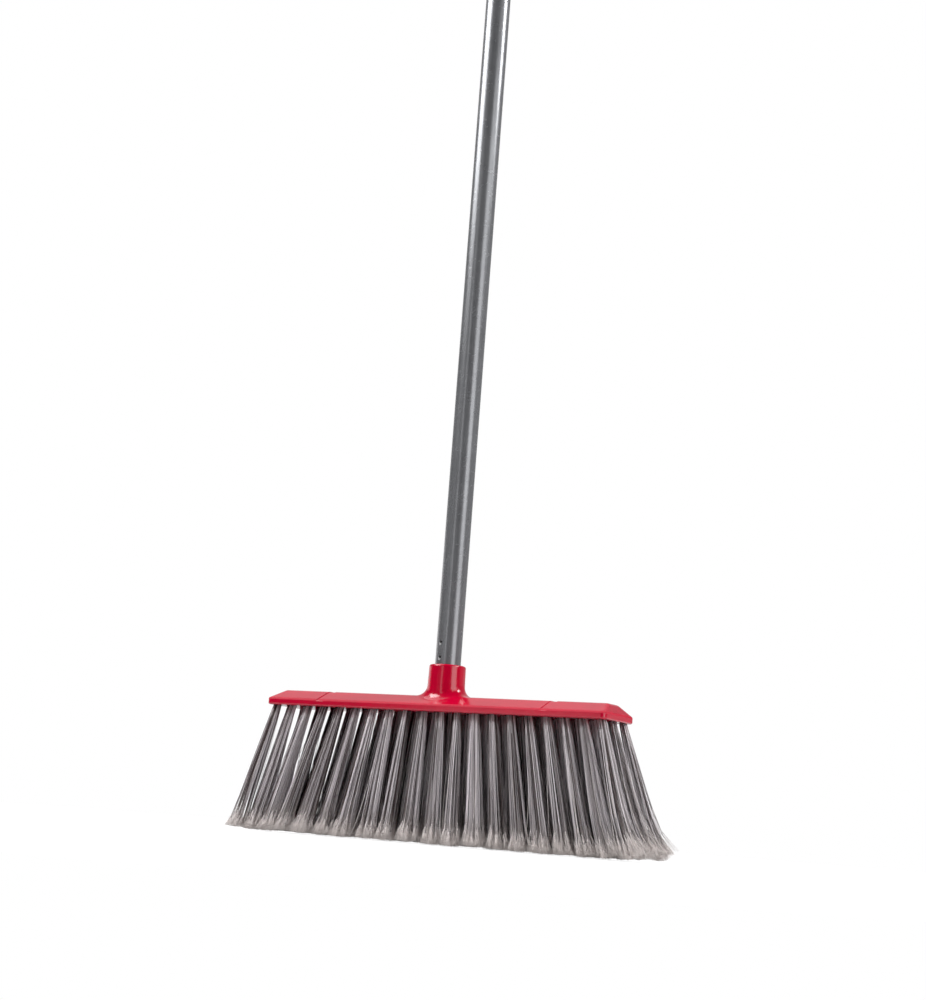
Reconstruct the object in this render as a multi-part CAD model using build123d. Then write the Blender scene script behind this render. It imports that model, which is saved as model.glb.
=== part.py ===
"""Household broom: a moulded block with an upright socket, five rows of tufts and a screw-in tube handle.

Millimetres, +Z up, +X along the block.  The origin lies on the floor under the middle of the block.
"""
from build123d import *
import math
import os

# Block
block_length = 324.0
block_width = 60.0
wall_height = 5.6
crown_rise = 8.7
crown_flat = 20.0
crown_round = 10.0
corner_radius = 5.0
end_lean = 6.0
end_round = 5.0
shoulder_round = 2.0
underside_round = 1.6
channel_place = 107.0
channel_width = 7.0
channel_depth = 0.45

# Socket
socket_height = 41.3
socket_wall = 4.3
socket_draft = 1.2
flare_radius = 10.0
rim_round = 2.0
seat_depth = 9.0
bore_floor = 5.3
running_gap = 0.3

# Tufts, and the slices of the block that carry them
row_count = 5
tufts_in_long_row = 20
tuft_end_margin = 7.15
bristle_length = 110.0
end_spread = 31.5
side_spread = 7.0
tip_uneven = 2.5
tip_wander = 2.4
floor_cut = 0.5
slice_thickness = 4.0
slice_end_wall = 3.5
slice_side_wall = 4.0
root_depth = 1.0
strand_root_offset = 1.4
strand_root_side = 1.9
strand_tip_offset = 4.8
strand_tip_side = 3.2

# Flat wire anchors that hold the tufts in their holes
anchor_length = 7.0
anchor_thickness = 0.4
anchor_height = 1.8

# Handle tube and the threaded insert in its foot
tube_radius = 11.0
tube_wall = 0.6
tube_length = 1200.0
thread_shoulder = 1.3
spigot_lead = 1.5
spigot_web = 4.0
collar_height = 1.6
plug_length = 34.0
plug_gap = 0.05
plug_wall = 3.35
plug_lead_height = 2.0
plug_lead_depth = 1.0
dimple_radius = 1.7
dimple_depth = 0.5
dimple_heights = (6.0, 18.8)
dimple_turn = 257.0

# Hanger cap on the top of the tube
cap_wall = 1.4
cap_skirt = 24.0
cap_lip_bevel = 0.4
cap_plug_length = 18.0
cap_plug_wall = 2.0
cap_plug_lead_height = 1.0
cap_plug_lead_depth = 0.6
cap_land = 1.0
cap_top = 3.0
eye_hole_radius = 5.0
eye_rim = 6.5
eye_thickness = 9.0
eye_neck = 3.0
eye_bevel = 1.2

# How far a cutting shape runs past what it cuts, how near counts as the same level,
# and the share of the crown's rise in which an edge counts as the shoulder's
cut_margin = 1.0
same_level = 0.01
shoulder_share = 0.2

# Levels and places worked out from the sizes above
underside = bristle_length
shoulder = underside + wall_height
crown_top = shoulder + crown_rise
slice_top = underside + slice_thickness
slice_length = block_length - 2 * slice_end_wall
row_pitch = (block_width - 2 * slice_side_wall) / row_count
tuft_pitch = (block_length - 2 * tuft_end_margin) / (tufts_in_long_row - 1)
rim_level = underside + socket_height
seat_level = rim_level - seat_depth
thread_floor = slice_top + bore_floor
tube_bottom = seat_level + collar_height
tube_top = tube_bottom + tube_length
tube_bore = tube_radius - tube_wall
plug_radius = tube_bore - plug_gap
thread_radius = tube_radius - thread_shoulder
thread_bore = thread_radius + running_gap
seat_bore = tube_radius + running_gap
rim_radius = seat_bore + socket_wall

standing = (Align.CENTER, Align.CENTER, Align.MIN)


def tuft_places(row):
    """Root centres of one row; every second row has one tuft less and sits half a pitch along."""
    count = tufts_in_long_row - row % 2
    y = (row - (row_count - 1) / 2) * row_pitch
    return [((i - (count - 1) / 2) * tuft_pitch, y) for i in range(count)]


def leaning_end(side):
    """Wedge that cuts one end of the bar back above its wall, side being -1 or 1."""
    end = side * block_length / 2
    above = crown_rise + cut_margin
    reach = side * end_lean * above / crown_rise
    wedge = Plane.XZ * make_face(
        Polyline((end, shoulder), (end, shoulder + above), (end - reach, shoulder + above), close=True)
    )
    return extrude(wedge, block_width, both=True)


def edges_between(solid, low, high):
    """Edges whose middles lie between two levels."""
    return ShapeList([e for e in solid.edges() if low < e.center().Z < high])


def plain_block():
    """Bar with sloping sides, a flat top, leaning ends, and rounded corners, ridges, shoulders and lower edges."""
    half = block_width / 2
    flat = crown_flat / 2
    with BuildSketch(Plane.YZ) as section:
        with BuildLine():
            Polyline(
                (-half, underside),
                (-half, shoulder),
                (-flat, crown_top),
                (flat, crown_top),
                (half, shoulder),
                (half, underside),
                close=True,
            )
        make_face()
        fillet(section.vertices().group_by(Axis.Y)[-1], crown_round)
    bar = extrude(section.sketch, block_length / 2, both=True)
    plan = Plane.XY.offset(underside) * RectangleRounded(block_length, block_width, corner_radius)
    bar &= extrude(plan, wall_height + crown_rise)
    for side in (-1, 1):
        bar -= leaning_end(side)
    ridge_level = shoulder + shoulder_share * crown_rise
    seams = [e for e in bar.edges().filter_by(Axis.X) if e.center().Z > ridge_level]
    bar = fillet(edges_between(bar, ridge_level, crown_top + same_level) - ShapeList(seams), end_round)
    bar = fillet(edges_between(bar, shoulder - same_level, ridge_level), shoulder_round)
    return fillet(edges_between(bar, underside - same_level, underside + same_level), underside_round)


def on_foot(point, foot):
    """True where a point lies on the line in which the socket meets the top of the bar."""
    radius = math.hypot(point.X, point.Y)
    return rim_radius < radius < foot and shoulder < point.Z < crown_top + same_level


def socket_on(bar):
    """Upright round socket, drawn out into the top of the bar by a concave flare."""
    height = rim_level - slice_top
    foot = rim_radius + math.tan(math.radians(socket_draft)) * height
    joined = bar + Pos(0, 0, slice_top) * Cone(foot, rim_radius, height, align=standing)
    rim = joined.edges().filter_by(GeomType.CIRCLE).sort_by(Axis.Z)[-1]
    joined = fillet(rim, rim_round)
    meeting = [e for e in joined.edges() if all(on_foot(e.position_at(u), foot) for u in (0, 0.3, 0.6, 1))]
    return fillet(meeting, flare_radius)


def channels(bar):
    """Two shallow channels across the top, as deep all over as the bar lowered by their depth leaves free."""
    lowered = Pos(0, 0, -channel_depth) * bar
    slab = Box(channel_width, block_width, wall_height + crown_rise, align=standing)
    return [Pos(side * channel_place, 0, underside) * slab - lowered for side in (-1, 1)]


def make_block():
    """Moulded block: bar, socket, cross channels, threaded bore and the pocket for the tuft slices."""
    bar = plain_block()
    block = socket_on(bar)
    block = block.cut(*channels(bar))
    block -= Pos(0, 0, seat_level) * Cylinder(seat_bore, seat_depth, align=standing)
    block -= Pos(0, 0, thread_floor) * Cylinder(thread_bore, seat_level - thread_floor, align=standing)
    block -= Pos(0, 0, underside) * Box(slice_length, row_count * row_pitch, slice_thickness, align=standing)
    return block.cut(*anchors())


def anchors():
    """One flat wire anchor over each tuft, standing on edge on the slice."""
    wire = Box(anchor_length, anchor_thickness, anchor_height, align=standing)
    places = [place for row in range(row_count) for place in tuft_places(row)]
    return [Pos(x, y, slice_top) * wire for x, y in places]


def strand(root, tip, tip_level):
    """Four-sided strand that swells from its root in the slice to its tip near the floor."""
    top = Plane.XY.offset(underside + root_depth) * Pos(*root) * Rectangle(strand_root_side, strand_root_side)
    end = Plane.XY.offset(tip_level) * Pos(*tip) * Rectangle(strand_tip_side, strand_tip_side)
    return loft([top, end], ruled=True)


def bristle_row(row):
    """One row of tufts, four strands each, fanning out along and across, fused to its slice of the block."""
    half_length = (tufts_in_long_row - 1) / 2 * tuft_pitch
    half_width = (row_count - 1) / 2 * row_pitch
    corners = ((-1, -1), (1, -1), (1, 1), (-1, 1))
    strands = []
    for number, (x, y) in enumerate(tuft_places(row)):
        tip_x = x + end_spread * x / half_length
        tip_y = y + side_spread * y / half_width
        for corner, (a, b) in enumerate(corners):
            root = (x + a * strand_root_offset, y + b * strand_root_offset)
            tip = (tip_x + a * strand_tip_offset, tip_y + b * strand_tip_offset)
            turn = tip_wander * (len(corners) * number + corner) + row
            strands.append(strand(root, tip, tip_uneven * abs(math.sin(turn)) - floor_cut))
    slice_y = tuft_places(row)[0][1]
    backing = Pos(0, slice_y, underside) * Box(slice_length, row_pitch, slice_thickness, align=standing)
    return split(backing.fuse(*strands), bisect_by=Plane.XY, keep=Keep.TOP)


def dimple_spots():
    """Centres of the two punched dimples, just outside the tube wall."""
    reach = tube_radius - dimple_depth + dimple_radius
    turn = math.radians(dimple_turn)
    return [Pos(reach * math.cos(turn), reach * math.sin(turn), rim_level + h) for h in dimple_heights]


def make_tube():
    """Drawn steel tube with two dimples punched inwards near its foot."""
    outer = Cylinder(tube_radius, tube_length, align=standing)
    inner = Cylinder(tube_bore, tube_length, align=standing)
    tube = Pos(0, 0, tube_bottom) * (outer - inner)
    core = Pos(0, 0, tube_bottom) * inner
    for spot in dimple_spots():
        tube += spot * Sphere(dimple_radius + tube_wall) & core
        tube -= spot * Sphere(dimple_radius)
    return tube


def make_insert():
    """Threaded plug: a hollow stem in the tube, a collar under the tube's end and the screw spigot below."""
    spigot_floor = thread_floor + running_gap
    bore_bottom = spigot_floor + spigot_web
    plug_top = tube_bottom + plug_length
    with BuildPart() as insert:
        with BuildSketch(Plane.XZ):
            with BuildLine():
                Polyline(
                    (0, spigot_floor),
                    (thread_radius - spigot_lead, spigot_floor),
                    (thread_radius, spigot_floor + spigot_lead),
                    (thread_radius, seat_level),
                    (tube_radius, seat_level),
                    (tube_radius, tube_bottom),
                    (plug_radius, tube_bottom),
                    (plug_radius, plug_top - plug_lead_height),
                    (plug_radius - plug_lead_depth, plug_top),
                    (plug_radius - plug_wall, plug_top),
                    (plug_radius - plug_wall, bore_bottom),
                    (0, bore_bottom),
                    close=True,
                )
            make_face()
        revolve(axis=Axis.Z)
    solid = insert.part
    for spot in dimple_spots():
        solid -= spot * Sphere(dimple_radius + tube_wall + plug_gap)
    return solid


def make_cap():
    """Hanger cap: a skirt over the tube's top, a plug inside it and an eye to hang the broom by."""
    skirt_bore = tube_radius + plug_gap
    skirt_radius = skirt_bore + cap_wall
    skirt_bottom = tube_top - cap_skirt
    plug_bottom = tube_top - cap_plug_length
    closed = tube_top + plug_gap
    land = closed + cap_land
    crown = land + cap_top
    with BuildPart() as cap:
        with BuildSketch(Plane.XZ):
            with BuildLine():
                Polyline(
                    (0, closed),
                    (plug_radius - cap_plug_wall, closed),
                    (plug_radius - cap_plug_wall, plug_bottom),
                    (plug_radius - cap_plug_lead_depth, plug_bottom),
                    (plug_radius, plug_bottom + cap_plug_lead_height),
                    (plug_radius, closed),
                    (skirt_bore, closed),
                    (skirt_bore, skirt_bottom),
                    (skirt_radius - cap_lip_bevel, skirt_bottom),
                    (skirt_radius, skirt_bottom + cap_lip_bevel),
                    (skirt_radius, land),
                )
                RadiusArc((skirt_radius, land), (skirt_radius - cap_top, crown), -cap_top)
                Polyline((skirt_radius - cap_top, crown), (0, crown), (0, closed))
            make_face()
        revolve(axis=Axis.Z)
    eye_radius = eye_hole_radius + eye_rim
    eye_level = crown + eye_neck + eye_hole_radius
    with BuildSketch(Plane.XZ) as eye:
        with Locations((0, eye_level)):
            Circle(eye_radius)
        with Locations((0, (eye_level + land) / 2)):
            Rectangle(2 * eye_radius, eye_level - land)
        with Locations((0, eye_level)):
            Circle(eye_hole_radius, mode=Mode.SUBTRACT)
    tab = extrude(eye.sketch, eye_thickness / 2, both=True)
    rims = [e for e in tab.edges().filter_by(Plane.XZ) if e.center().Z > land + eye_bevel]
    tab = chamfer(rims, eye_bevel)
    return cap.part + tab


pieces = {
    "block": make_block(),
    "tuft_anchors": Compound(children=anchors()),
    "handle_tube": make_tube(),
    "thread_insert": make_insert(),
    "hanger_cap": make_cap(),
}
for row in range(row_count):
    pieces[f"bristle_row_{row + 1}"] = bristle_row(row)

os.makedirs("parts", exist_ok=True)
for node, piece in pieces.items():
    export_step(piece, f"parts/{node}.step")
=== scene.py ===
"""Household broom: finishes for its moulded block, handle and cap, and its tufts made fibre by fibre."""
import math

import bpy
import numpy as np
from bpy.props import FloatProperty, FloatVectorProperty, IntProperty, PointerProperty
from mathutils import Matrix, Vector


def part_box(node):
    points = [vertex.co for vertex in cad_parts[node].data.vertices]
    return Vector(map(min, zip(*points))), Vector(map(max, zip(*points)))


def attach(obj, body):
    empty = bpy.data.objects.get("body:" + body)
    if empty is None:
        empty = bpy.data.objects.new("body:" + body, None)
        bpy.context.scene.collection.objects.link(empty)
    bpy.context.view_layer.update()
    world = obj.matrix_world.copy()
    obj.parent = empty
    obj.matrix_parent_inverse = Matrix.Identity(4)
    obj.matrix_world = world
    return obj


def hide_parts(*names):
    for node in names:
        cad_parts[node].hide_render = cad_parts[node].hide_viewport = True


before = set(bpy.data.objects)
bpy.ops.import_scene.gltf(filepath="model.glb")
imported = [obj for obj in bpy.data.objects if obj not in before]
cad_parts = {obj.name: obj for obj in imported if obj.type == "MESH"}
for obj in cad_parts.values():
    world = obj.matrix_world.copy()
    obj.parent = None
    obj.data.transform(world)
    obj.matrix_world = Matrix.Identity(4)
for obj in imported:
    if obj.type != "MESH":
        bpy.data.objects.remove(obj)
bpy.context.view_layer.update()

bl_info = {
    "name": "Household broom",
    "version": (1, 0, 0),
    "blender": (4, 5, 0),
    "location": "View3D > Sidebar > Broom",
    "description": "Finishes a broom around its packed frame and fills its block with fibres",
    "category": "Add Mesh",
}

BRISTLE_NODES = sorted(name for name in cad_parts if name.startswith("bristle_row"))
UV_MAP = "OFBake"
GOLDEN_ANGLE = math.pi * (3 - math.sqrt(5))

# Places that the frame gives
BLOCK_LOW, BLOCK_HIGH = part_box("block")
ANCHOR_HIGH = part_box("tuft_anchors")[1]
ROW_LOW, ROW_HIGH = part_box(BRISTLE_NODES[0])
LAST_ROW_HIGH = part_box(BRISTLE_NODES[-1])[1]
UNDERSIDE = BLOCK_LOW.z


def srgb(red, green, blue):
    """A colour written as screen values from 0 to 255, in the linear values that Blender's sockets take."""
    shares = np.array((red, green, blue)) / 255
    linear = np.where(shares <= 0.04045, shares / 12.92, ((shares + 0.055) / 1.055) ** 2.4)
    return tuple(float(value) for value in linear)


def colour(name, description, value):
    """A property for a linear colour."""
    return FloatVectorProperty(
        name=name, description=description, subtype="COLOR", size=3, min=0, max=1, default=value
    )


def length(name, description, value):
    """A property for a length in metres."""
    return FloatProperty(
        name=name, description=description, subtype="DISTANCE", unit="LENGTH", default=value, precision=5
    )


def number(name, description, value):
    """A property for a plain number."""
    return FloatProperty(name=name, description=description, default=value)


def count(name, description, value):
    """A property for a whole number from 1 up."""
    return IntProperty(name=name, description=description, default=value, min=1)


def angle(name, description, degrees):
    """A property for an angle, given in degrees."""
    return FloatProperty(
        name=name, description=description, subtype="ANGLE", unit="ROTATION", default=math.radians(degrees)
    )


def power(name, description, watts):
    """A property for a lamp's power."""
    return FloatProperty(name=name, description=description, unit="POWER", default=watts)


class BroomTufts(bpy.types.PropertyGroup):
    """Sizes of the tufts and their fibres."""

    long_row: count("Tufts in a long row", "The rows between have one less", 20)
    fibres: count("Fibres", "Fibres in one tuft", 120)
    clumps: count("Clumps", "Groups that a tuft's fibres gather into", 22)
    seed: count("Seed", "Start of the random draws", 7)
    anchor_length: length("Anchor length", "Wire anchor, along the block", 0.007)
    anchor_thickness: length("Anchor thickness", "Wire anchor, across the block", 0.0004)
    strand_reach: length("Strand reach", "From a tuft's middle to its outer face at its tip", 0.0064)
    end_wall: length("End wall", "Block beyond the ends of the pierced slices", 0.0035)
    hole_clearance: length("Hole clearance", "Between a tuft and its hole", 0.0003)
    hole_depth: length("Hole depth", "Tuft hole, below the wire anchor", 0.0032)
    fibre_radius: length("Fibre radius", "Half a fibre's thickness", 0.00024)
    root_radius: length("Root radius", "Tuft where it leaves the block", 0.0033)
    tip_radius: length("Tip radius", "Tuft at the floor", 0.0077)
    fan: number("Fan", "Power of the length by which a tuft widens, under 1 for early", 0.85)
    tuft_shift: length("Tuft shift", "How far a tuft's tip strays from its place", 0.0012)
    bow: length("Bow", "Sideways bend of a fibre", 0.0004)
    wander: length("Wander", "How far a fibre's tip strays from its place", 0.0005)
    end_flare: length("End flare", "How far the tips at the right end bend out", 0.0075)
    end_rise: length("End rise", "How much higher the outermost tips at the right end stop", 0.0090)
    end_tuck: length("End tuck", "How far the tips at the left end draw in", 0.0035)
    spread: length("Spread", "How much further the tufts between the middle and an end lean out", 0.0060)
    splay: length("Splay", "How far the split ends open beyond the tuft", 0.0022)
    scallop: length("Scallop", "How much shorter the outer fibres of a tuft end", 0.0008)
    tuft_uneven: length("Tuft uneven", "Spread of the tufts' lengths", 0.0008)
    uneven: length("Uneven", "Spread of the fibres' lengths", 0.0006)
    flag_short: length("Shortest flag", "Split end of a fibre", 0.006)
    flag_long: length("Longest flag", "Split end of a fibre", 0.019)
    flag_radius: length("Flag radius", "Half the thickness of a split hair", 0.00009)
    flag_spread: length("Flag spread", "How far the split hairs part", 0.0016)
    flag_uneven: length("Flag uneven", "Spread of the split hairs' lengths", 0.0009)
    flags: count("Split hairs", "Hairs at the end of one fibre", 5)
    strays: count("Stray hairs", "Bent hairs that leave their row's tufts", 60)
    stray_lean: length("Stray lean", "How far a stray hair leans out", 0.0050)
    stray_radius: length("Stray radius", "Half a stray hair's thickness", 0.00018)


class BroomColours(bpy.types.PropertyGroup):
    """Colours of the broom's materials."""

    block: colour("Block", "Moulded block and socket", srgb(185, 0, 44))
    handle: colour("Handle", "Coated tube", srgb(126, 127, 130))
    fibre: colour("Fibre", "Lightest fibres", srgb(237, 230, 234))
    fibre_dark: colour("Dark fibre", "Darkest fibres", srgb(63, 48, 46))
    flag: colour("Split end", "Lightest split tips", srgb(252, 243, 240))
    flag_dark: colour("Dark split end", "Darkest split tips", srgb(214, 205, 201))
    cap: colour("Cap", "Hanger cap", srgb(58, 59, 62))
    insert: colour("Insert", "Threaded plug", srgb(70, 71, 73))
    wire: colour("Wire", "Wire anchors", srgb(188, 186, 180))


class BroomStage(bpy.types.PropertyGroup):
    """Camera, floor and lamps."""

    camera_place: FloatVectorProperty(
        name="Camera place", description="Where the camera stands", subtype="TRANSLATION", unit="LENGTH",
        default=(0.7618, -1.3811, 0.0249),
    )
    camera_yaw: angle("Camera yaw", "Turn to the left from +Y", 28.80)
    camera_pitch: angle("Camera pitch", "Tilt upwards", 9.72)
    camera_roll: angle("Camera roll", "Turn about the view", 4.34)
    lens: FloatProperty(
        name="Lens", description="Focal length on a 36 mm frame", unit="CAMERA", default=66.53
    )
    floor_radius: length("Floor radius", "Half across the round floor", 0.9)
    lamp_distance: length("Lamp distance", "From the block to a lamp whose share is 1", 2.0)
    key_power: power("Key", "High lamp in front, to the left", 44.0)
    strip_power: power("Strip", "Narrow upright panel in front", 2.8)
    panel_power: power("Panel", "Low dim panel in front, to the left", 1.2)
    side_power: power("Side", "Tall softbox at the right", 16.5)
    overhead_power: power("Overhead", "Softbox overhead, to the left", 22.0)
    end_power: power("End", "High lamp behind, to the right", 24.0)
    rim_power: power("Rim", "Dim low panel behind, to the left", 1.4)


def put(tree, kind, **settings):
    """A new node of a tree, with its attributes set."""
    made = tree.nodes.new(kind)
    for name, value in settings.items():
        setattr(made, name, value)
    return made


def fill(node, **values):
    """Sets unlinked inputs by name, with an underscore for a space."""
    for name, value in values.items():
        node.inputs[name.replace("_", " ")].default_value = value
    return node


FLOAT_SOCKET, COLOUR_SOCKET = "NodeSocketFloat", "NodeSocketColor"


def new_group(name, inputs, outputs):
    """A shader node group with float or colour sockets, and its two ends: (tree, start, end)."""
    tree = bpy.data.node_groups.new(name, "ShaderNodeTree")
    for direction, sockets in (("INPUT", inputs), ("OUTPUT", outputs)):
        for socket, kind in sockets.items():
            tree.interface.new_socket(socket, in_out=direction, socket_type=kind)
    return tree, put(tree, "NodeGroupInput"), put(tree, "NodeGroupOutput")


def moulded_skin():
    """Group for moulded plastic, on Object coordinates: colour mottle, uneven gloss and a fine grain."""
    name = "moulded skin"
    if name in bpy.data.node_groups:
        return bpy.data.node_groups[name]
    tree, start, end = new_group(
        name,
        {
            "Colour": COLOUR_SOCKET,
            "Deep colour": COLOUR_SOCKET,
            "Low roughness": FLOAT_SOCKET,
            "High roughness": FLOAT_SOCKET,
            "Grain": FLOAT_SOCKET,
        },
        {"Colour": COLOUR_SOCKET, "Roughness": FLOAT_SOCKET, "Height": FLOAT_SOCKET},
    )
    link = tree.links.new
    place = put(tree, "ShaderNodeTexCoord")
    cloud = fill(put(tree, "ShaderNodeTexNoise"), Scale=38.0, Detail=3.0, Roughness=0.55)
    sweep = fill(put(tree, "ShaderNodeTexNoise"), Scale=170.0, Detail=4.0, Roughness=0.6)
    grain = fill(put(tree, "ShaderNodeTexNoise"), Detail=2.0, Roughness=0.5)
    for pattern in (cloud, sweep, grain):
        link(place.outputs["Object"], pattern.inputs["Vector"])
    link(start.outputs["Grain"], grain.inputs["Scale"])
    mottle = put(tree, "ShaderNodeMix", data_type="RGBA")
    shade = fill(put(tree, "ShaderNodeMapRange"), From_Min=0.35, From_Max=0.7)
    link(cloud.outputs["Fac"], shade.inputs["Value"])
    link(shade.outputs["Result"], mottle.inputs["Factor"])
    link(start.outputs["Colour"], mottle.inputs["A"])
    link(start.outputs["Deep colour"], mottle.inputs["B"])
    gloss = fill(put(tree, "ShaderNodeMapRange"), From_Min=0.3, From_Max=0.7)
    link(sweep.outputs["Fac"], gloss.inputs["Value"])
    link(start.outputs["Low roughness"], gloss.inputs["To Min"])
    link(start.outputs["High roughness"], gloss.inputs["To Max"])
    link(mottle.outputs["Result"], end.inputs["Colour"])
    link(gloss.outputs["Result"], end.inputs["Roughness"])
    link(grain.outputs["Fac"], end.inputs["Height"])
    return tree


STREAK_STRETCH = (1.0, 1.0, 0.03)


def rubbed_streaks():
    """Group for handled surfaces: faint long streaks along Z and small scuffs, as a mask from 0 to 1."""
    name = "rubbed streaks"
    if name in bpy.data.node_groups:
        return bpy.data.node_groups[name]
    scales = {"Streak scale": FLOAT_SOCKET, "Scuff scale": FLOAT_SOCKET}
    tree, start, end = new_group(name, scales, {"Mask": FLOAT_SOCKET})
    link = tree.links.new
    place = put(tree, "ShaderNodeTexCoord")
    stretch = put(tree, "ShaderNodeMapping")
    stretch.inputs["Scale"].default_value = STREAK_STRETCH
    streak = fill(put(tree, "ShaderNodeTexNoise"), Detail=3.0, Roughness=0.6)
    scuff = fill(put(tree, "ShaderNodeTexNoise"), Detail=6.0, Roughness=0.7)
    link(place.outputs["Object"], stretch.inputs["Vector"])
    link(stretch.outputs["Vector"], streak.inputs["Vector"])
    link(place.outputs["Object"], scuff.inputs["Vector"])
    link(start.outputs["Streak scale"], streak.inputs["Scale"])
    link(start.outputs["Scuff scale"], scuff.inputs["Scale"])
    both = put(tree, "ShaderNodeMath", operation="MULTIPLY")
    link(streak.outputs["Fac"], both.inputs[0])
    link(scuff.outputs["Fac"], both.inputs[1])
    spread = fill(put(tree, "ShaderNodeMapRange"), From_Min=0.12, From_Max=0.42)
    link(both.outputs["Value"], spread.inputs["Value"])
    link(spread.outputs["Result"], end.inputs["Mask"])
    return tree


def new_material(name):
    """An empty node material with its shader: (material, tree, shader)."""
    made = bpy.data.materials.new(name)
    made.use_nodes = True
    tree = made.node_tree
    return made, tree, tree.nodes["Principled BSDF"]


def deeper(value, share):
    """A darker version of a linear colour."""
    return tuple(share * part for part in value)


def moulded_plastic(name, value, low, high, grain, height):
    """Moulded plastic in one colour: roughness from low to high, and a grain of a scale and height."""
    made, tree, shader = new_material(name)
    skin = put(tree, "ShaderNodeGroup", node_tree=moulded_skin())
    fill(skin, Colour=(*value, 1), Deep_colour=(*deeper(value, share=0.88), 1))
    fill(skin, Low_roughness=low, High_roughness=high, Grain=grain)
    bump = fill(put(tree, "ShaderNodeBump"), Strength=0.35, Distance=height)
    tree.links.new(skin.outputs["Colour"], shader.inputs["Base Color"])
    tree.links.new(skin.outputs["Roughness"], shader.inputs["Roughness"])
    tree.links.new(skin.outputs["Height"], bump.inputs["Height"])
    tree.links.new(bump.outputs["Normal"], shader.inputs["Normal"])
    return made


# The dull line on the block's shoulder: its level, half of it in full and with its fade, and its roughness
SHOULDER_LEVEL = UNDERSIDE + 0.0056
SHOULDER_NEAR, SHOULDER_FAR = 0.0007, 0.0013
SHOULDER_ROUGHNESS = 0.75


def dull_shoulder(made):
    """Makes a plastic matt in a thin level line along the block's shoulder, fading out above and below.

    The roughness becomes the larger of its own and one that falls with the height from the line.
    """
    tree = made.node_tree
    link = tree.links.new
    rough = tree.nodes["Principled BSDF"].inputs["Roughness"]
    own = rough.links[0].from_socket
    place = put(tree, "ShaderNodeTexCoord")
    parts = put(tree, "ShaderNodeSeparateXYZ")
    link(place.outputs["Object"], parts.inputs["Vector"])
    gap = put(tree, "ShaderNodeMath", operation="SUBTRACT")
    gap.inputs[1].default_value = SHOULDER_LEVEL
    link(parts.outputs["Z"], gap.inputs[0])
    away = put(tree, "ShaderNodeMath", operation="ABSOLUTE")
    link(gap.outputs["Value"], away.inputs[0])
    matt = put(tree, "ShaderNodeMapRange", interpolation_type="SMOOTHSTEP")
    fill(matt, From_Min=SHOULDER_NEAR, From_Max=SHOULDER_FAR, To_Min=SHOULDER_ROUGHNESS, To_Max=0.0)
    link(away.outputs["Value"], matt.inputs["Value"])
    either = put(tree, "ShaderNodeMath", operation="MAXIMUM")
    link(own, either.inputs[0])
    link(matt.outputs["Result"], either.inputs[1])
    link(either.outputs["Value"], rough)


TUBE_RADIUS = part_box("handle_tube")[1].x

# The two punched dimples at the tube's foot, whose light and shade are painted: their turn about the tube,
# their levels, how far the painted highlight on the lower lip lies from the hollow, how far a spot reaches in
# full and with its fade, and the two painted colours, the lip's highlight and the hollow's shade
DIMPLE_TURN = math.radians(257.0)
DIMPLE_LEVELS = (BLOCK_HIGH.z + 0.0060, BLOCK_HIGH.z + 0.0188)
DIMPLE_HIGHLIGHT_TURN = math.radians(4.0)
DIMPLE_HIGHLIGHT_DROP = 0.0013
DIMPLE_NEAR, DIMPLE_FAR = 0.0008, 0.0017
DIMPLE_LIP_PAINTED_HIGHLIGHT, DIMPLE_HOLLOW_PAINTED_SHADE = srgb(214, 215, 216), srgb(12, 12, 13)


def spot(tree, place, turn, level, value, tint):
    """Lays a round soft spot of a linear colour over a tint, at a turn about the tube and a level up it; it
    paints the dimples' highlights and shade.
    """
    gap = put(tree, "ShaderNodeVectorMath", operation="DISTANCE")
    gap.inputs[1].default_value = (TUBE_RADIUS * math.cos(turn), TUBE_RADIUS * math.sin(turn), level)
    tree.links.new(place.outputs["Object"], gap.inputs[0])
    shade = put(tree, "ShaderNodeMapRange", interpolation_type="SMOOTHSTEP")
    fill(shade, From_Min=DIMPLE_NEAR, From_Max=DIMPLE_FAR, To_Min=1.0, To_Max=0.0)
    tree.links.new(gap.outputs["Value"], shade.inputs["Value"])
    over = put(tree, "ShaderNodeMix", data_type="RGBA")
    over.inputs["B"].default_value = (*value, 1)
    tree.links.new(shade.outputs["Result"], over.inputs["Factor"])
    tree.links.new(tint, over.inputs["A"])
    return over.outputs["Result"]


def dimple_painted_light(tree, tint):
    """Paints a highlight on the lower lip and shade in the upper hollow of the tube's two dimples."""
    place = put(tree, "ShaderNodeTexCoord")
    for level in DIMPLE_LEVELS:
        tint = spot(tree, place, DIMPLE_TURN - DIMPLE_HIGHLIGHT_TURN, level - DIMPLE_HIGHLIGHT_DROP, DIMPLE_LIP_PAINTED_HIGHLIGHT, tint)
        tint = spot(tree, place, DIMPLE_TURN, level, DIMPLE_HOLLOW_PAINTED_SHADE, tint)
    return tint


STREAK_TINT = (0.84, 0.84, 0.85, 1)


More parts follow.
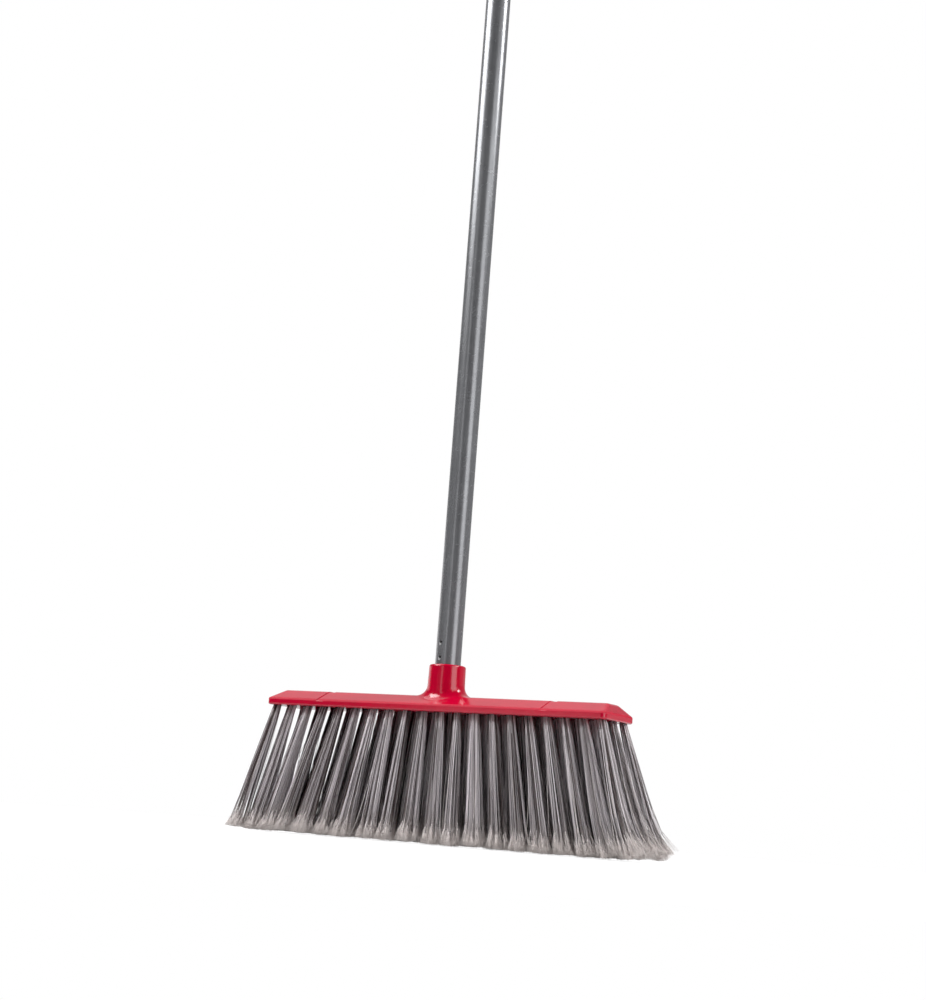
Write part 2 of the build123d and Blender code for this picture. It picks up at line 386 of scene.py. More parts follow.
def coated_steel(value):
    """Satin coat on a drawn tube: fine orange peel, faint streaks along the tube, slightly metallic."""
    made, tree, shader = new_material("coated steel")
    skin = put(tree, "ShaderNodeGroup", node_tree=moulded_skin())
    fill(skin, Colour=(*value, 1), Deep_colour=(*deeper(value, share=0.9), 1))
    fill(skin, Low_roughness=0.25, High_roughness=0.28, Grain=900.0)
    streaks = put(tree, "ShaderNodeGroup", node_tree=rubbed_streaks())
    fill(streaks, Streak_scale=420.0, Scuff_scale=90.0)
    tone = put(tree, "ShaderNodeMix", data_type="RGBA", blend_type="MULTIPLY")
    tone.inputs["B"].default_value = STREAK_TINT
    bump = fill(put(tree, "ShaderNodeBump"), Strength=0.25, Distance=0.00002)
    tree.links.new(streaks.outputs["Mask"], tone.inputs["Factor"])
    tree.links.new(skin.outputs["Colour"], tone.inputs["A"])
    # The two dimples get a painted highlight and painted shade over the coat's colour
    tree.links.new(dimple_painted_light(tree, tone.outputs["Result"]), shader.inputs["Base Color"])
    tree.links.new(skin.outputs["Roughness"], shader.inputs["Roughness"])
    tree.links.new(skin.outputs["Height"], bump.inputs["Height"])
    tree.links.new(bump.outputs["Normal"], shader.inputs["Normal"])
    shader.inputs["Metallic"].default_value = 0.45
    return made


def drawn_wire(value):
    """Bright flattened wire with fine draw lines."""
    made, tree, shader = new_material("drawn wire")
    streaks = put(tree, "ShaderNodeGroup", node_tree=rubbed_streaks())
    fill(streaks, Streak_scale=2500.0, Scuff_scale=600.0)
    gloss = fill(put(tree, "ShaderNodeMapRange"), To_Min=0.25, To_Max=0.5)
    tone = put(tree, "ShaderNodeMix", data_type="RGBA")
    tone.inputs["A"].default_value = (*value, 1)
    tone.inputs["B"].default_value = (*deeper(value, share=0.7), 1)
    tree.links.new(streaks.outputs["Mask"], tone.inputs["Factor"])
    tree.links.new(streaks.outputs["Mask"], gloss.inputs["Value"])
    tree.links.new(tone.outputs["Result"], shader.inputs["Base Color"])
    tree.links.new(gloss.outputs["Result"], shader.inputs["Roughness"])
    shader.inputs["Metallic"].default_value = 1.0
    return made


# Steps of tone across the fibres' chart, the share of its height that a fibre's body takes, and the part of
# that height over which a fibre pales towards its split end
FIBRE_TONES = 48
BODY_SHARE = 0.8
PALING_START, PALING_END = 0.83 * BODY_SHARE, 1.2 * BODY_SHARE


def fibre_polyester(colours):
    """Polyester fibres: U is the tone from dark to light in steps, and V runs from root to split end.

    The body of a fibre takes V from 0 to BODY_SHARE and its split hairs the rest, which are paler.
    """
    made, tree, shader = new_material("fibre polyester")
    link = tree.links.new
    chart = put(tree, "ShaderNodeUVMap", uv_map=UV_MAP)
    parts = put(tree, "ShaderNodeSeparateXYZ")
    link(chart.outputs["UV"], parts.inputs["Vector"])
    steps = put(tree, "ShaderNodeMath", operation="SNAP")
    steps.inputs[1].default_value = 1 / FIBRE_TONES
    link(parts.outputs["X"], steps.inputs[0])
    body = put(tree, "ShaderNodeMix", data_type="RGBA")
    body.inputs["A"].default_value = (*colours.fibre_dark, 1)
    body.inputs["B"].default_value = (*colours.fibre, 1)
    link(steps.outputs["Value"], body.inputs["Factor"])
    pale = put(tree, "ShaderNodeMix", data_type="RGBA")
    pale.inputs["A"].default_value = (*colours.flag_dark, 1)
    pale.inputs["B"].default_value = (*colours.flag, 1)
    link(steps.outputs["Value"], pale.inputs["Factor"])
    paling = put(tree, "ShaderNodeMapRange", interpolation_type="SMOOTHSTEP")
    fill(paling, From_Min=PALING_START, From_Max=PALING_END)
    link(parts.outputs["Y"], paling.inputs["Value"])
    tips = put(tree, "ShaderNodeMix", data_type="RGBA")
    link(paling.outputs["Result"], tips.inputs["Factor"])
    link(body.outputs["Result"], tips.inputs["A"])
    link(pale.outputs["Result"], tips.inputs["B"])
    gloss = fill(put(tree, "ShaderNodeMapRange"), To_Min=0.5, To_Max=0.34)
    link(steps.outputs["Value"], gloss.inputs["Value"])
    link(tips.outputs["Result"], shader.inputs["Base Color"])
    link(gloss.outputs["Result"], shader.inputs["Roughness"])
    return made


def unit(vectors):
    """Vectors scaled to a length of 1."""
    return vectors / np.linalg.norm(vectors, axis=-1, keepdims=True)


def sunflower(total):
    """Even points of the unit disc: radius by the root of a point's number, angle by the golden angle."""
    order = np.arange(total)
    radius = np.sqrt((order + 0.5) / total)
    turn = order * GOLDEN_ANGLE
    return np.stack((radius * np.cos(turn), radius * np.sin(turn)), axis=-1)


def tubes(paths, radii, sides=3):
    """Closed thin tubes: a ring of points square to each path at every station, joined up and capped.

    paths is (tube, station, xyz) and radii (tube, station). Returns points, four-sided walls and the caps.
    """
    total, stations, _ = paths.shape
    along = unit(np.gradient(paths, axis=1))
    across = unit(np.cross(along, (0.0, 1.0, 0.0)))
    square = np.cross(along, across)
    turn = 2 * np.pi * np.arange(sides) / sides
    around = np.cos(turn)[:, None] * across[:, :, None, :] + np.sin(turn)[:, None] * square[:, :, None, :]
    points = paths[:, :, None, :] + radii[:, :, None, None] * around
    index = np.arange(total * stations * sides).reshape(total, stations, sides)
    after = np.roll(index, -1, axis=2)
    walls = np.stack((index[:, :-1], after[:, :-1], after[:, 1:], index[:, 1:]), axis=-1)
    caps = np.stack((index[:, 0, ::-1], index[:, -1]), axis=1)
    return points.reshape(-1, 3), walls, caps


# Margin at the sides of a tone's column, the corners of a cap across it, and a cap's share of the height
CHART_MARGIN = 0.1
CAP_CORNERS = np.array((0.2, 0.8, 0.5))
CAP_SHARE = 0.02


def tube_chart(column, low, high, stations, sides=3):
    """UV places of the corners of tubes(): each tube fills its tone's column across and low to high along.

    A cap takes a small triangle at its own end of the column. Returns the walls' and the caps' places.
    """
    along = np.broadcast_to(np.linspace(low, high, stations), (len(column), stations))
    left = (np.arange(sides) + CHART_MARGIN) / (sides + 2 * CHART_MARGIN)
    right = (np.arange(sides) + 1 + CHART_MARGIN) / (sides + 2 * CHART_MARGIN)
    u = np.stack((left, right, right, left), axis=-1)[None, None] + column[:, None, None, None]
    v = np.stack((along[:, :-1], along[:, :-1], along[:, 1:], along[:, 1:]), axis=-1)[:, :, None, :]
    walls = np.stack(np.broadcast_arrays(u / FIBRE_TONES, v), axis=-1)
    cap_u = (CAP_CORNERS + column[:, None, None]) / FIBRE_TONES
    reach = CAP_SHARE * (high - low)
    cap_v = np.array(((low, low, low + reach), (high - reach, high - reach, high)))
    caps = np.stack(np.broadcast_arrays(cap_u, cap_v[None]), axis=-1)
    return walls, caps


def mesh_piece(name, points, faces, charts=None, smooth=True):
    """A mesh object from arrays: faces is a list of (.., corners) arrays, charts their corners' UV places."""
    mesh = bpy.data.meshes.new(name)
    rows = [part.reshape(-1, part.shape[-1]) for part in faces]
    corners = np.concatenate([part.ravel() for part in rows])
    sizes = np.concatenate([np.full(len(part), part.shape[1]) for part in rows])
    mesh.vertices.add(len(points))
    mesh.vertices.foreach_set("co", points.astype(np.float32).ravel())
    mesh.loops.add(len(corners))
    mesh.loops.foreach_set("vertex_index", corners.astype(np.int32))
    mesh.polygons.add(len(sizes))
    mesh.polygons.foreach_set("loop_start", (np.cumsum(sizes) - sizes).astype(np.int32))
    mesh.polygons.foreach_set("use_smooth", np.full(len(sizes), smooth))
    if charts is not None:
        places = np.concatenate([part.reshape(-1, 2) for part in charts])
        mesh.uv_layers.new(name=UV_MAP).data.foreach_set("uv", places.astype(np.float32).ravel())
    mesh.update(calc_edges=True)
    mesh.validate()
    made = bpy.data.objects.new(name, mesh)
    bpy.context.scene.collection.objects.link(made)
    return made


def joined(parts):
    """Points, walls and caps of several tubes() results as one, with their faces renumbered."""
    points, walls, caps, start = [], [], [], 0
    for part_points, part_walls, part_caps in parts:
        points.append(part_points)
        walls.append(part_walls.reshape(-1, 4) + start)
        caps.append(part_caps.reshape(-1, part_caps.shape[-1]) + start)
        start += len(part_points)
    return np.concatenate(points), np.concatenate(walls), np.concatenate(caps)


def tuft_layout(sizes, row):
    """Root and tip middles of one row's tufts, as (tuft, xyz) arrays, from the anchors' and strands' boxes.

    A tip lies out from its root in proportion to its place along the row, with one sine wave added.
    """
    tufts = sizes.long_row - row % 2
    half_length = ANCHOR_HIGH.x - sizes.anchor_length / 2
    half_width = ANCHOR_HIGH.y - sizes.anchor_thickness / 2
    pitch = 2 * half_length / (sizes.long_row - 1)
    x = (np.arange(tufts) - (tufts - 1) / 2) * pitch
    y = (2 * row / (len(BRISTLE_NODES) - 1) - 1) * half_width
    along = (ROW_HIGH.x - sizes.strand_reach) / half_length
    across = (LAST_ROW_HIGH.y - sizes.strand_reach) / half_width
    roots = np.stack((x, np.full(tufts, y), np.full(tufts, UNDERSIDE)), axis=-1)
    tip_x = x * along + sizes.spread * np.sin(np.pi * x / half_length)
    tips = np.stack((tip_x, np.full(tufts, y * across), np.full(tufts, ROW_LOW.z)), axis=-1)
    return roots, tips


END_PARTS = 3


def end_share(x, side):
    """From 0 to 1 over the last of a half row's END_PARTS parts: right end for side 1, left end for -1."""
    return np.clip(END_PARTS * side * x / ANCHOR_HIGH.x - (END_PARTS - 1), 0, 1)


# Scatter of the fibres and of the clumps' middles in the unit disc, and how far a clump draws its fibres in
FIBRE_SCATTER, CLUMP_SCATTER = 0.03, 0.08
CLUMP_PULL = (0.75, 1.0)


def clumped_disc(sizes, tufts, draw):
    """Places of the fibres in each tuft's unit disc at the root and at the tip, and their clump's number.

    The discs are turned at random. At the tip a fibre is drawn part or all of the way to its clump's middle.
    """
    turn = draw.uniform(0, 2 * np.pi, tufts)
    spin = np.array(((np.cos(turn), -np.sin(turn)), (np.sin(turn), np.cos(turn)))).transpose(2, 0, 1)
    disc = np.einsum("tij,fj->tfi", spin, sunflower(sizes.fibres))
    disc += draw.normal(0, FIBRE_SCATTER, disc.shape)
    middles = np.einsum("tij,cj->tci", spin, sunflower(sizes.clumps))
    middles += draw.normal(0, CLUMP_SCATTER, middles.shape)
    clump = np.linalg.norm(disc[:, :, None] - middles[:, None], axis=-1).argmin(axis=2)
    pull = np.take_along_axis(draw.uniform(*CLUMP_PULL, middles.shape[:2]), clump, axis=1)
    own = np.take_along_axis(middles, clump[:, :, None], axis=1)
    return disc, disc + pull[:, :, None] * (own - disc), clump


# Shapes of the fibres: the range of the tufts' widths, the share of length from which the ends splay, the
# power by which the right end flares, and where in the disc and by which power its tips begin to rise
TUFT_WIDTHS = (0.9, 1.1)
SPLAY_START = 0.84
FLARE_POWER = 6
RISE_START, RISE_POWER = -0.3, 1.5

# Tones from 0 to 1: the clumps' middle and spread, the fibres' own spread, and the highest, which falls in
# the last step
CLUMP_TONE, CLUMP_TONE_SPREAD = 0.53, 0.32
FIBRE_TONE_SPREAD = 0.28
TOP_TONE = 0.999


def fibre_lines(sizes, row, draw):
    """Lines of a row's fibres, root to floor, as a function of each fibre's shares of length, and tones.

    The disc's middle runs straight from root to tip, and its radius grows with a power of the share. In the
    disc a fibre moves from its root place to its tip place with the root of the share, so the clumps gather
    early. A half wave bows it sideways, and over the last part of the length the disc opens by a square.
    The left end's tips draw in. The right end's bend out by a power of the share, and stop higher on their
    outer side. Tufts and fibres differ in length, and a tuft's outer fibres are shorter by the square of
    their place.
    """
    roots, tips = tuft_layout(sizes, row)
    tufts, fibres = len(roots), sizes.fibres
    disc, tip_disc, clump = clumped_disc(sizes, tufts, draw)
    tips[:, :2] += draw.normal(0, sizes.tuft_shift, (tufts, 2))
    roots[:, 2] += sizes.hole_depth
    root_width = sizes.root_radius - sizes.fibre_radius
    tip_width = sizes.tip_radius * draw.uniform(*TUFT_WIDTHS, (tufts, 1, 1))
    stray = draw.normal(0, sizes.wander, (tufts, fibres, 2))
    bow = draw.normal(0, sizes.bow, (tufts, fibres, 2))
    reach = np.linalg.norm(tip_disc, axis=-1)
    short = sizes.scallop * reach**2 + np.abs(draw.normal(0, sizes.uneven, (tufts, fibres)))
    right_end = end_share(roots[:, 0], 1)
    outer = np.clip((tip_disc[..., 0] - RISE_START) / (1 - RISE_START), 0, 1)
    short += sizes.end_rise * right_end[:, None] * outer**RISE_POWER
    flare = sizes.end_flare * right_end
    tips[:, 0] += sizes.end_tuck * end_share(roots[:, 0], -1)
    clump_tone = draw.normal(CLUMP_TONE, CLUMP_TONE_SPREAD, (tufts, sizes.clumps))
    tone = np.take_along_axis(clump_tone, clump, axis=1)
    tone = np.clip(tone + draw.normal(0, FIBRE_TONE_SPREAD, tone.shape), 0, TOP_TONE) * FIBRE_TONES
    short += np.abs(draw.normal(0, sizes.tuft_uneven, (tufts, 1)))

    def line(shares):
        """Points of the fibres at their shares of length, as (fibre, share, xyz)."""
        t = np.broadcast_to(shares, (tufts * fibres, shares.shape[-1])).reshape(tufts, fibres, -1, 1)
        width = root_width + (tip_width[..., None] - root_width) * t**sizes.fan
        places = roots[:, None, None] + (tips - roots)[:, None, None] * t
        places[..., :2] += width * (disc[:, :, None] + (tip_disc - disc)[:, :, None] * np.sqrt(t))
        places[..., :2] += stray[:, :, None] * t + bow[:, :, None] * np.sin(np.pi * t)
        opening = np.clip((t - SPLAY_START) / (1 - SPLAY_START), 0, 1) ** 2
        places[..., :2] += sizes.splay * tip_disc[:, :, None] * opening
        places[..., :1] += flare[:, None, None, None] * t**FLARE_POWER
        places[..., 2:] += short[:, :, None, None] * t
        return places.reshape(tufts * fibres, -1, 3)

    return line, tone.ravel().astype(int)


# Stations of the rings along a fibre's body, a split hair and a stray hair
BODY_STATIONS = np.linspace(0, 1, 6)
HAIR_STATIONS = np.array((0.0, 1.0))
STRAY_STATIONS = np.linspace(0.25, 0.98, 9)

# Split hairs: their radii from start to end, how far they part at most in spreads, and where they start on
# their fibre in its radii
HAIR_TAPER = np.array((1.0, 0.6))
HAIR_PART_LIMIT = 2
HAIR_SEAT = 0.3

# Stray hairs: the largest lean, the lean added at the right end and the curl in leans, the share of the
# lean that is left across the row, the factors of the bend and of the wave, and where they start in the
# chart
STRAY_LIMIT = 0.007
STRAY_END_LEAN, STRAY_CURL = 0.6, 0.4
STRAY_ACROSS = 0.6
STRAY_BEND, STRAY_WAVE = 2, 5
STRAY_CHART_START = 0.9 * BODY_SHARE

# From one row's seed to the next
SEED_STEP = 31


def fibre_row(sizes, row):
    """One row of tufts, as points, faces and charts: fibres, their split hairs and a few stray hairs.

    A split hair runs straight on from its fibre's end to a place beside its tip. A stray hair leaves its
    fibre's line by its lean times the square of the share, and by a sine wave.
    """
    draw = np.random.default_rng(sizes.seed + SEED_STEP * row)
    line, tone = fibre_lines(sizes, row, draw)
    split_at = 1 - draw.uniform(sizes.flag_short, sizes.flag_long, (len(tone), 1)) / UNDERSIDE
    body = line(split_at * BODY_STATIONS)
    body_parts = tubes(body, np.full(body.shape[:2], sizes.fibre_radius))
    body_chart = tube_chart(tone, 0.0, BODY_SHARE, body.shape[1])

    ends = line(split_at + (1 - split_at) * HAIR_STATIONS)
    hairs = np.repeat(ends, sizes.flags, axis=0)
    widest = HAIR_PART_LIMIT * sizes.flag_spread
    part = np.clip(draw.normal(0, sizes.flag_spread, (len(hairs), 1, 2)), -widest, widest)
    seat = draw.normal(0, HAIR_SEAT * sizes.fibre_radius, part.shape)
    hairs[..., :2] += part * HAIR_STATIONS[:, None] + seat
    shorter = np.abs(draw.normal(0, sizes.flag_uneven, len(hairs)))
    hairs[:, -1, 2] = np.maximum(hairs[:, -1, 2] + shorter, ROW_LOW.z)
    hair_parts = tubes(hairs, np.broadcast_to(sizes.flag_radius * HAIR_TAPER, hairs.shape[:2]))
    hair_chart = tube_chart(draw.integers(0, FIBRE_TONES, len(hairs)), BODY_SHARE, 1.0, hairs.shape[1])

    picked = draw.choice(len(tone), sizes.strays, replace=False)
    strays = line(STRAY_STATIONS[None])[picked]
    free = (STRAY_STATIONS - STRAY_STATIONS[0])[:, None]
    lean = np.clip(draw.normal(0, sizes.stray_lean, (sizes.strays, 1, 2)), -STRAY_LIMIT, STRAY_LIMIT)
    lean[..., 0] += STRAY_END_LEAN * sizes.stray_lean * end_share(strays[:, :1, 0], 1)
    lean[..., 1] *= STRAY_ACROSS
    curl = draw.normal(0, STRAY_CURL * sizes.stray_lean, (sizes.strays, 1, 2))
    strays[..., :2] += STRAY_BEND * lean * free**2 + curl * np.sin(STRAY_WAVE * free)
    stray_parts = tubes(strays, np.full(strays.shape[:2], sizes.stray_radius))
    stray_chart = tube_chart(tone[picked], STRAY_CHART_START, 1.0, strays.shape[1])

    points, walls, caps = joined((body_parts, hair_parts, stray_parts))
    charts = (body_chart, hair_chart, stray_chart)
    wall_chart = np.concatenate([chart[0].reshape(-1, 2) for chart in charts])
    cap_chart = np.concatenate([chart[1].reshape(-1, 2) for chart in charts])
    return points, (walls, caps), (wall_chart, cap_chart)


# Rings of a tuft hole, each as hole radii out from its middle and hole depths up from the underside
HOLE_RINGS = np.array(((0.96, 1.0), (1.0, 0.3), (1.03, 0.08), (1.12, 0.0)))

# Steps along each side of a cell of the underside, and how close points lie to become one
SIDE_STEPS = 8
WELD_GAP = 1e-7


def welded(points, faces):
    """Points that lie on each other become one, and the faces follow."""
    key = np.round(points / WELD_GAP).astype(np.int64)
    _, first, kept = np.unique(key, axis=0, return_index=True, return_inverse=True)
    return points[first], [kept.ravel()[part] for part in faces]


def slice_row(sizes, row):
    """One row's slice of the block as a closed solid: an underside with tuft holes, walls and a flat top.

    The underside is a row of cells, one round each tuft. A cell's rings are the circles that HOLE_RINGS
    gives, then its rectangle, with SIDE_STEPS steps to a side: front, right, back and left. The rectangle's
    second copy is the top.
    """
    roots, _ = tuft_layout(sizes, row)
    middles = roots[:, :2]
    end = BLOCK_HIGH.x - sizes.end_wall
    half_pitch = (ANCHOR_HIGH.y - sizes.anchor_thickness / 2) / (len(BRISTLE_NODES) - 1)
    edges = np.concatenate(((-end,), (middles[1:, 0] + middles[:-1, 0]) / 2, (end,)))
    step = np.arange(SIDE_STEPS) / SIDE_STEPS
    still = np.zeros(SIDE_STEPS)
    u = np.concatenate((step, still + 1, 1 - step, still))
    v = np.concatenate((still, step, still + 1, 1 - step))
    rim_x = edges[:-1, None] + np.diff(edges)[:, None] * u
    rim_y = middles[:, 1:] + half_pitch * (2 * v - 1)
    rim = np.stack((rim_x, rim_y), axis=-1)
    out = unit(rim - middles[:, None])
    hole = sizes.root_radius + sizes.hole_clearance
    circles = middles[:, None, None] + hole * HOLE_RINGS[:, 0, None, None] * out[:, None]
    flat = np.concatenate((circles, rim[:, None], rim[:, None]), axis=1)
    level = np.concatenate((UNDERSIDE + sizes.hole_depth * HOLE_RINGS[:, 1], (UNDERSIDE, ROW_HIGH.z)))
    points = np.concatenate((flat, np.broadcast_to(level[:, None, None], flat.shape[:-1] + (1,))), axis=-1)
    index = np.arange(flat[..., 0].size).reshape(flat.shape[:-1])
    after = np.roll(index, -1, axis=2)
    quads = np.stack((index[:, :-1], index[:, 1:], after[:, 1:], after[:, :-1]), axis=-1)
    front, right, back, left = np.split(quads[:, -1], 4, axis=1)
    walls = np.concatenate([part.reshape(-1, 4) for part in (front, right[-1:], back, left[:1])])
    faces = [quads[:, :-1].reshape(-1, 4), walls, index[:, 0, ::-1], index[:, -1]]
    return welded(points.reshape(-1, 3), faces)


def dress(node, made):
    """Gives a node of the frame one material."""
    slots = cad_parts[node].data.materials
    slots.clear()
    slots.append(made)


def on_head(piece, node, made):
    """Gives a new piece its material, puts it on the head's body and hides the node of the frame that it
    stands for.
    """
    piece.data.materials.append(made)
    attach(piece, "head")
    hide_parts(node)


class BROOM_OT_block(bpy.types.Operator):
    """Glossy crimson plastic on the moulded block"""

    bl_idname = "broom.block"
    bl_label = "Block"

    def execute(self, context):
        value = tuple(context.scene.broom_colours.block)
        made = moulded_plastic("crimson plastic", value, low=0.15, high=0.20, grain=700.0, height=0.00002)
        dull_shoulder(made)
        dress("block", made)
        return {"FINISHED"}


class BROOM_OT_tufts(bpy.types.Operator):
    """Rows of tufts, made fibre by fibre"""

    bl_idname = "broom.tufts"
    bl_label = "Tufts"

    def execute(self, context):
        sizes = context.scene.broom_tufts
        made = fibre_polyester(context.scene.broom_colours)
        for row, node in enumerate(BRISTLE_NODES):
            points, faces, charts = fibre_row(sizes, row)
            fibres = mesh_piece(f"fibres_{row + 1}", points, faces, charts)
            on_head(fibres, node, made)
        return {"FINISHED"}


class BROOM_OT_slices(bpy.types.Operator):
    """Pierced underside of the block, one slice to a row of tufts"""

    bl_idname = "broom.slices"
    bl_label = "Slices"

    def execute(self, context):
        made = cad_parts["block"].data.materials[0]
        for row, node in enumerate(BRISTLE_NODES):
            points, faces = slice_row(context.scene.broom_tufts, row)
            piece = mesh_piece(f"slice_{row + 1}", points, faces, smooth=False)
            on_head(piece, node, made)
        return {"FINISHED"}


class BROOM_OT_anchors(bpy.types.Operator):
    """Wire anchors in the tuft holes"""

    bl_idname = "broom.anchors"
    bl_label = "Anchors"

    def execute(self, context):
        dress("tuft_anchors", drawn_wire(tuple(context.scene.broom_colours.wire)))
        return {"FINISHED"}


class BROOM_OT_handle(bpy.types.Operator):
    """Coated steel tube"""

    bl_idname = "broom.handle"
    bl_label = "Handle"

    def execute(self, context):
        dress("handle_tube", coated_steel(tuple(context.scene.broom_colours.handle)))
        return {"FINISHED"}


class BROOM_OT_fittings(bpy.types.Operator):
    """Threaded insert and hanger cap"""

    bl_idname = "broom.fittings"
    bl_label = "Insert and cap"

    def execute(self, context):
        colours = context.scene.broom_colours
        value = tuple(colours.insert)
        insert = moulded_plastic("insert plastic", value, low=0.4, high=0.55, grain=900.0, height=0.00005)
        dress("thread_insert", insert)
        value = tuple(colours.cap)
        cap = moulded_plastic("cap plastic", value, low=0.32, high=0.46, grain=900.0, height=0.00006)
        dress("hanger_cap", cap)
        return {"FINISHED"}


LAMP_AIM = Vector((0.0, 0.0, 0.12))

# Each lamp's azimuth and elevation in degrees, its share of the lamp distance, and its width and height in
# metres
LAMPS = {
    "key": (-53, 44, 1.0, (1.3, 0.95)),
    "strip": (-4, 10, 1.0, (0.36, 1.5)),
    "panel": (-23.8, -1, 1.2, (0.5, 0.36)),
    "side": (74, 12, 0.8, (0.95, 1.6)),
    "overhead": (-98, 61, 1.4, (1.9, 1.9)),
    "end": (110, 45, 1.0, (0.6, 0.6)),
    "rim": (-108, 4, 0.8, (0.9, 0.5)),
}


def area_lamp(name, azimuth, elevation, distance, size, watts):
    """A soft rectangular lamp that looks at the block, at an azimuth from -Y towards +X and an elevation."""
    data = bpy.data.lights.new(name, "AREA")
    data.shape = "RECTANGLE"
    data.size, data.size_y = size
    data.energy = watts
    lamp = bpy.data.objects.new(name, data)
    turn, rise = math.radians(azimuth), math.radians(elevation)
    away = Vector((math.sin(turn) * math.cos(rise), -math.cos(turn) * math.cos(rise), math.sin(rise)))
    lamp.location = LAMP_AIM + distance * away
    lamp.rotation_euler = (-away).to_track_quat("-Z", "Y").to_euler()
    lamp.visible_camera = False
    bpy.context.scene.collection.objects.link(lamp)


def shown_rays(tree):
    """Sockets that are 1 for the rays that show the background, and for those of them to the camera alone.

    Such rays go to the camera, into gloss or through glass.
    """
    path = put(tree, "ShaderNodeLightPath")
    total = path.outputs["Is Camera Ray"]
    for ray in ("Is Glossy Ray", "Is Transmission Ray"):
        either = put(tree, "ShaderNodeMath", operation="MAXIMUM")
        tree.links.new(total, either.inputs[0])
        tree.links.new(path.outputs[ray], either.inputs[1])
        total = either.outputs["Value"]
    return total, path.outputs["Is Camera Ray"]


ROOM_LIGHT = 0.01


def white_world():
    """White for the camera, and next to nothing for light on the object.

    Gloss sees a studio that is dark in front and bright behind: brighter to the left than to the right, and
    at least half white low down.
    """
    world = bpy.data.worlds.new("studio")
    world.use_nodes = True
    tree = world.node_tree
    link = tree.links.new
    shown = tree.nodes["Background"]
    place = put(tree, "ShaderNodeTexCoord")
    parts = put(tree, "ShaderNodeSeparateXYZ")
    link(place.outputs["Generated"], parts.inputs["Vector"])
    behind = put(tree, "ShaderNodeMapRange", interpolation_type="SMOOTHSTEP")
    fill(behind, From_Min=0.1, From_Max=0.75, To_Min=0.03, To_Max=1.0)
    link(parts.outputs["Y"], behind.inputs["Value"])
    left = put(tree, "ShaderNodeMapRange", interpolation_type="SMOOTHSTEP")
    fill(left, From_Min=-0.45, From_Max=0.3, To_Min=0.72, To_Max=0.22)
    link(parts.outputs["X"], left.inputs["Value"])
    low = put(tree, "ShaderNodeMapRange", interpolation_type="SMOOTHSTEP")
    fill(low, From_Min=0.1, From_Max=0.2, To_Min=0.5, To_Max=0.0)
    link(parts.outputs["Z"], low.inputs["Value"])
    either = put(tree, "ShaderNodeMath", operation="MAXIMUM")
    link(left.outputs["Result"], either.inputs[0])
    link(low.outputs["Result"], either.inputs[1])
    sweep = put(tree, "ShaderNodeMath", operation="MULTIPLY")
    link(behind.outputs["Result"], sweep.inputs[0])
    link(either.outputs["Value"], sweep.inputs[1])
    rays, camera = shown_rays(tree)
    room = put(tree, "ShaderNodeMix", data_type="FLOAT")
    room.inputs["A"].default_value = ROOM_LIGHT
    link(rays, room.inputs["Factor"])
    link(sweep.outputs["Value"], room.inputs["B"])
    strength = put(tree, "ShaderNodeMix", data_type="FLOAT")
    strength.inputs["B"].default_value = 1.0
    link(camera, strength.inputs["Factor"])
    link(room.outputs["Result"], strength.inputs["A"])
    shown.inputs["Color"].default_value = (1, 1, 1, 1)
    link(strength.outputs["Result"], shown.inputs["Strength"])
    return world


# The floor's corners, the grey that it bounces, the grey that takes its shown shadow, and its shown glow
FLOOR_CORNERS = 96
FLOOR_BOUNCE = (0.55, 0.55, 0.55, 1)
FLOOR_SHADE = (0.3, 0.3, 0.3, 1)
FLOOR_GLOW = 0.86


def pale_floor(radius):
    """A round pale floor that bounces light, and is white with a faint shadow to the camera and in gloss."""
    turn = 2 * np.pi * np.arange(FLOOR_CORNERS) / FLOOR_CORNERS
    points = radius * np.stack((np.cos(turn), np.sin(turn), np.zeros(FLOOR_CORNERS)), axis=-1)
    floor = mesh_piece("floor", points, [np.arange(FLOOR_CORNERS)[None]], smooth=False)
    made, tree, shader = new_material("pale floor")
    link = tree.links.new
    fill(shader, Base_Color=FLOOR_BOUNCE, Roughness=0.9)
    faint = put(tree, "ShaderNodeBsdfDiffuse")
    faint.inputs["Color"].default_value = FLOOR_SHADE
    glow = put(tree, "ShaderNodeEmission")
    glow.inputs["Strength"].default_value = FLOOR_GLOW
    both = put(tree, "ShaderNodeAddShader")
    choice = put(tree, "ShaderNodeMixShader")
    rays, _ = shown_rays(tree)
    link(faint.outputs["BSDF"], both.inputs[0])
    link(glow.outputs["Emission"], both.inputs[1])
    link(rays, choice.inputs["Fac"])
    link(shader.outputs["BSDF"], choice.inputs[1])
    link(both.outputs["Shader"], choice.inputs[2])
    link(choice.outputs["Shader"], tree.nodes["Material Output"].inputs["Surface"])
    floor.data.materials.append(made)
    return floor


def new_camera(stage):
    """The camera at its place, turned to the left, tilted up and then rolled about its view."""
    data = bpy.data.cameras.new("camera")
    data.lens = stage.lens
    data.clip_start = 0.01
    camera = bpy.data.objects.new("camera", data)
    yaw = Matrix.Rotation(stage.camera_yaw, 4, "Z")
    pitch = Matrix.Rotation(math.pi / 2 + stage.camera_pitch, 4, "X")
    roll = Matrix.Rotation(stage.camera_roll, 4, "Z")
    camera.matrix_world = Matrix.Translation(stage.camera_place) @ yaw @ pitch @ roll
    bpy.context.scene.collection.objects.link(camera)
    return camera


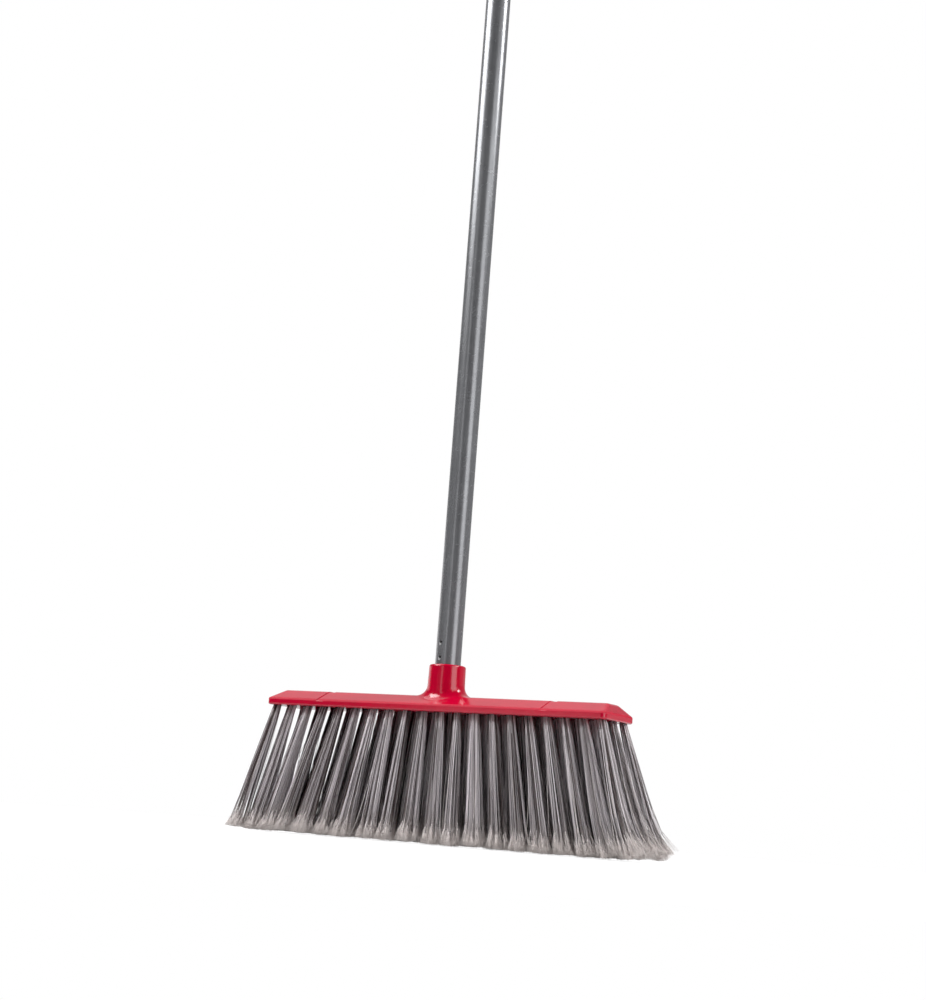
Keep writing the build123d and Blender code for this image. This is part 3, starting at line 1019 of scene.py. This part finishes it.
class BROOM_OT_stage(bpy.types.Operator):
    """Floor, white background, lamps and the camera"""

    bl_idname = "broom.stage"
    bl_label = "Stage"

    def execute(self, context):
        stage = context.scene.broom_stage
        context.scene.world = white_world()
        pale_floor(stage.floor_radius)
        for name, (azimuth, elevation, share, size) in LAMPS.items():
            watts = getattr(stage, f"{name}_power")
            area_lamp(name, azimuth, elevation, share * stage.lamp_distance, size, watts)
        context.scene.camera = new_camera(stage)
        context.scene.view_settings.view_transform = "Standard"
        return {"FINISHED"}


OPERATORS = (
    BROOM_OT_block,
    BROOM_OT_slices,
    BROOM_OT_tufts,
    BROOM_OT_anchors,
    BROOM_OT_handle,
    BROOM_OT_fittings,
    BROOM_OT_stage,
)
GROUPS = {"broom_tufts": BroomTufts, "broom_colours": BroomColours, "broom_stage": BroomStage}


class BROOM_PT_sidebar(bpy.types.Panel):
    """Lists the broom's pieces and the sizes and colours that can be changed"""

    bl_idname = "BROOM_PT_sidebar"
    bl_label = "Broom"
    bl_space_type = "VIEW_3D"
    bl_region_type = "UI"
    bl_category = "Broom"

    def draw(self, context):
        for operator in OPERATORS:
            self.layout.operator(operator.bl_idname)
        for group in GROUPS:
            values = getattr(context.scene, group)
            column = self.layout.column(align=True)
            for name in values.__annotations__:
                column.prop(values, name)


CLASSES = (*GROUPS.values(), *OPERATORS, BROOM_PT_sidebar)


def register():
    """Registers the classes and gives the scene its groups of sizes and colours."""
    for made in CLASSES:
        bpy.utils.register_class(made)
    for name, group in GROUPS.items():
        setattr(bpy.types.Scene, name, PointerProperty(type=group))


def unregister():
    """Takes the scene's groups and the classes away again, in the opposite order."""
    for name in GROUPS:
        delattr(bpy.types.Scene, name)
    for made in reversed(CLASSES):
        bpy.utils.unregister_class(made)


def main():
    """Builds every piece and the stage."""
    register()
    bpy.ops.broom.block()
    bpy.ops.broom.slices()
    bpy.ops.broom.tufts()
    bpy.ops.broom.anchors()
    bpy.ops.broom.handle()
    bpy.ops.broom.fittings()
    bpy.ops.broom.stage()


if __name__ == "__main__":
    main()
